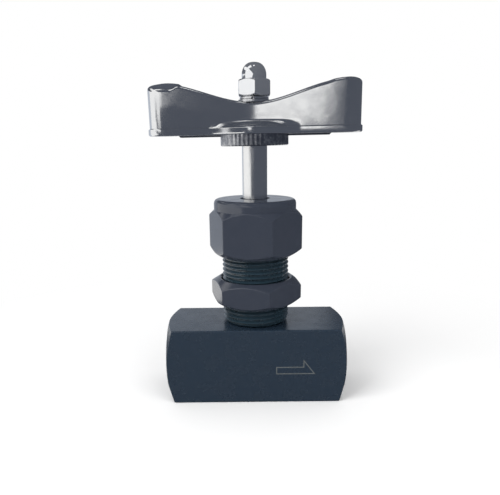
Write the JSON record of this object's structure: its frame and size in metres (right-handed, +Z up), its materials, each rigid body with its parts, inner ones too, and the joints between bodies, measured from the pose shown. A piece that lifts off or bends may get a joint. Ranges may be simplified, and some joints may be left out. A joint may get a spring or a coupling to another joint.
{
  "type": "gauge isolation valve",
  "caption": "Needle valve on a square bar body with two female ports in line, a long threaded bonnet with lock nut and packing nut, and a saddle-backed bar handle.",
  "frame": {"origin": "middle of the body's flat underside, under the stem's axis", "axes": "+Z up along the stem towards the cap nut, +X along the body from the inlet port to the outlet port"},
  "size_m": [0.0669, 0.03, 0.1078],
  "materials": {
    "blackened_steel": "blue-black oxide on turned and drawn steel, satin",
    "stainless_steel": "ground bright",
    "die_cast_metal": "tumbled die casting, satin polish",
    "chrome_plate": "bright plated",
    "brass": "turned",
    "black_rubber": "moulded",
    "white_packing": "turned, waxy"
  },
  "bodies": {
    "housing": {"valve_body": "blackened_steel", "seat_insert": "stainless_steel", "bonnet": "blackened_steel", "bonnet_o_ring": "black_rubber", "bonnet_backup_ring": "white_packing", "packing_support_ring": "brass", "packing_ring_1": "white_packing", "packing_ring_2": "white_packing", "packing_ring_3": "white_packing", "packing_header_ring": "brass", "gland_follower": "brass", "packing_nut": "blackened_steel"},
    "lock_nut": {"lock_nut": "blackened_steel"},
    "needle_carriage": {"needle": "stainless_steel", "thrust_ball": "stainless_steel", "needle_retaining_ring": "stainless_steel"},
    "spindle": {"stem": "stainless_steel", "handle": "die_cast_metal", "flat_washer": "stainless_steel", "spring_washer": "stainless_steel", "acorn_nut": "chrome_plate"}
  },
  "joints": [
    {"name": "stem_lift", "type": "slide", "parent": "housing", "child": "needle_carriage", "axis": [0, 0, 1], "range_m": [-0.0075, 0]},
    {"name": "handle_turn", "type": "hinge", "parent": "needle_carriage", "child": "spindle", "pos_m": [0, 0, 0.09], "axis": [0, 0, 1], "range_deg": [-1801, 0]},
    {"name": "lock_nut_travel", "type": "slide", "parent": "housing", "child": "lock_nut", "axis": [0, 0, 1], "range_m": [-0.00605, 0.00735]}
  ],
  "couplings": [
    {"joint": "handle_turn", "follows": "stem_lift", "rad_per_m": 4188.8}
  ]
}
